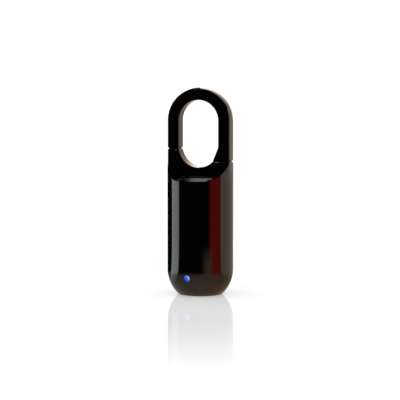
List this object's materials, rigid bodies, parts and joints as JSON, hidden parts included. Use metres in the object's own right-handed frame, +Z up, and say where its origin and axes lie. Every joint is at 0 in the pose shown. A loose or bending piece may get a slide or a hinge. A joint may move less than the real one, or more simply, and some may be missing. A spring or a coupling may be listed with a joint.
{
  "type": "travel padlock",
  "caption": "Slim round padlock with a flat loop at its top; the loop's upper part is the shackle, which swings on one leg and is held by a motor-driven bolt in the other.",
  "frame": {"origin": "centre of the foot's flat underside, which the padlock stands on", "axes": "+Z up along the body to the loop, +X to the right seen from the front, -Y out of the front with the light"},
  "size_m": [0.024, 0.024, 0.0755],
  "materials": {
    "black_lacquer": "high-gloss black lacquer on cast metal",
    "light_pipe": "clear blue plastic, lit from behind",
    "seal_rubber": "matt black rubber",
    "steel": "plain rolled steel",
    "hard_steel": "ground hardened steel",
    "cell_nickel": "nickel plate",
    "grey_plastic": "moulded dark grey plastic",
    "white_plastic": "moulded white plastic",
    "board_green": "green circuit board",
    "chip_black": "matt black moulding compound",
    "brass": "machined brass",
    "bronze": "sintered bronze"
  },
  "bodies": {
    "body": {"casing": "black_lacquer", "light_pipe": "light_pipe", "battery_cell_lower": "cell_nickel", "battery_cell_upper": "cell_nickel", "battery_top_contact": "cell_nickel", "battery_carrier": "grey_plastic", "circuit_board": "board_green", "control_chip": "chip_black", "radio_module": "steel", "status_led": "white_plastic", "gearbox_frame": "grey_plastic", "bearing_plate": "steel", "gearbox_screw_1": "steel", "gearbox_screw_2": "steel", "motor_can": "steel", "motor_end_cap": "chip_black", "bolt_bush": "bronze", "bolt_seal": "seal_rubber", "pivot_bush": "bronze", "wear_washer": "bronze", "retaining_fork": "steel"},
    "shackle_body": {"shackle": "black_lacquer", "pivot_pin": "hard_steel", "lock_socket_sleeve": "hard_steel"},
    "cap_body": {"base_cap": "black_lacquer", "base_cap_seal": "seal_rubber", "battery_spring": "steel"},
    "rotor": {"motor_shaft": "hard_steel", "motor_pinion": "brass"},
    "screw": {"lead_screw": "hard_steel", "screw_gear": "white_plastic"},
    "bolt": {"bolt_carriage": "brass", "locking_bolt": "hard_steel"}
  },
  "joints": [
    {"name": "shackle_swing", "type": "hinge", "parent": "body", "child": "shackle_body", "pos_m": [-0.00975, 0, 0.053], "axis": [0, 0, 1], "range_deg": [0, 180]},
    {"name": "base_cap_turn", "type": "hinge", "parent": "body", "child": "cap_body", "pos_m": [0, 0, 0.0026], "axis": [0, 0, 1], "range_deg": [0, 60]},
    {"name": "screw_spin", "type": "hinge", "parent": "body", "child": "screw", "pos_m": [0.00262, 0, 0.037], "axis": [0, 0, 1], "range_deg": [-720.1, 0]},
    {"name": "motor_spin", "type": "hinge", "parent": "body", "child": "rotor", "pos_m": [-0.0026, 0, 0.037], "axis": [0, 0, 1], "range_deg": [0, 1440.2]},
    {"name": "bolt_throw", "type": "slide", "parent": "body", "child": "bolt", "axis": [0, 0, 1], "range_m": [0, 0.003]}
  ],
  "couplings": [
    {"joint": "screw_spin", "follows": "bolt_throw", "rad_per_m": -4188.8},
    {"joint": "motor_spin", "follows": "bolt_throw", "rad_per_m": 8377.6}
  ]
}
